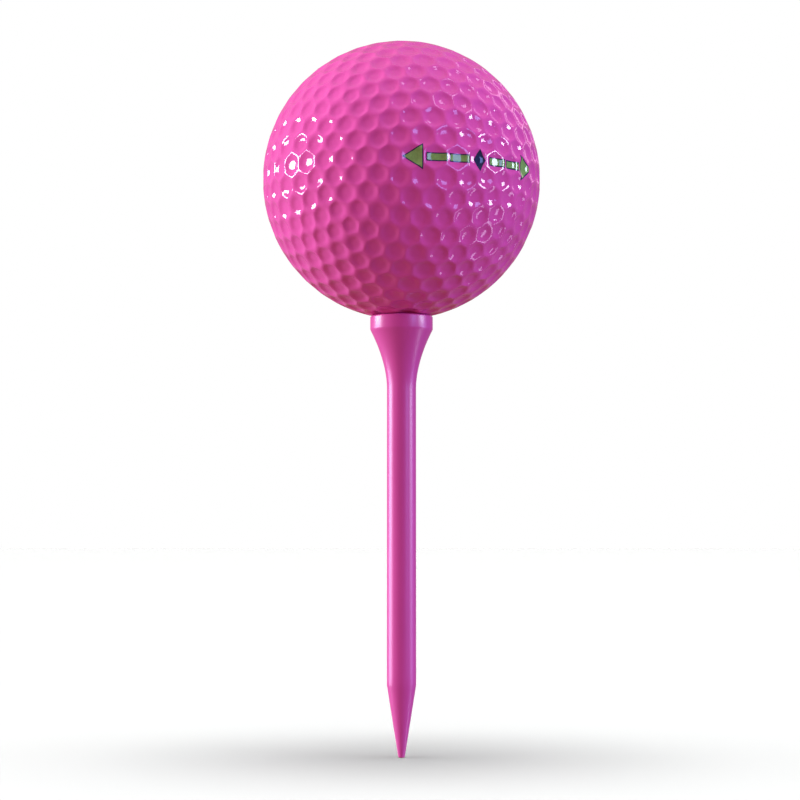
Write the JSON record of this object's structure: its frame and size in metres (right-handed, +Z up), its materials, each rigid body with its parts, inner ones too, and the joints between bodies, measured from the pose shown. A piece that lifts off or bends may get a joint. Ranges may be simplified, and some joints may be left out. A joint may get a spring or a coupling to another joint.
{
  "type": "golf ball",
  "caption": "Dimpled golf ball resting in the shallow cup of a matching moulded tee with a flared head, a straight shank and a pointed tip.",
  "frame": {"origin": "middle of the flat end of the tee's tip, at the bottom of the object", "axes": "+Z up along the tee and through the ball's poles, -Y towards the viewer of the ball's printed side, +X to the viewer's right"},
  "size_m": [0.0426, 0.0426, 0.1095],
  "materials": {
    "core_rubber": "matte",
    "mantle_ionomer": "matte",
    "cover_gloss_pink": "gloss",
    "tee_satin_pink": "satin"
  },
  "bodies": {
    "tee": {"tee": "tee_satin_pink"},
    "ball": {"rubber_core": "core_rubber", "mantle_upper_half": "mantle_ionomer", "mantle_lower_half": "mantle_ionomer", "cover_upper_half": "cover_gloss_pink", "cover_lower_half": "cover_gloss_pink"}
  },
  "joints": [
    {"name": "ball_lift", "type": "slide", "parent": "tee", "child": "ball", "axis": [0, 0, 1], "range_m": [0, 0.05]}
  ]
}
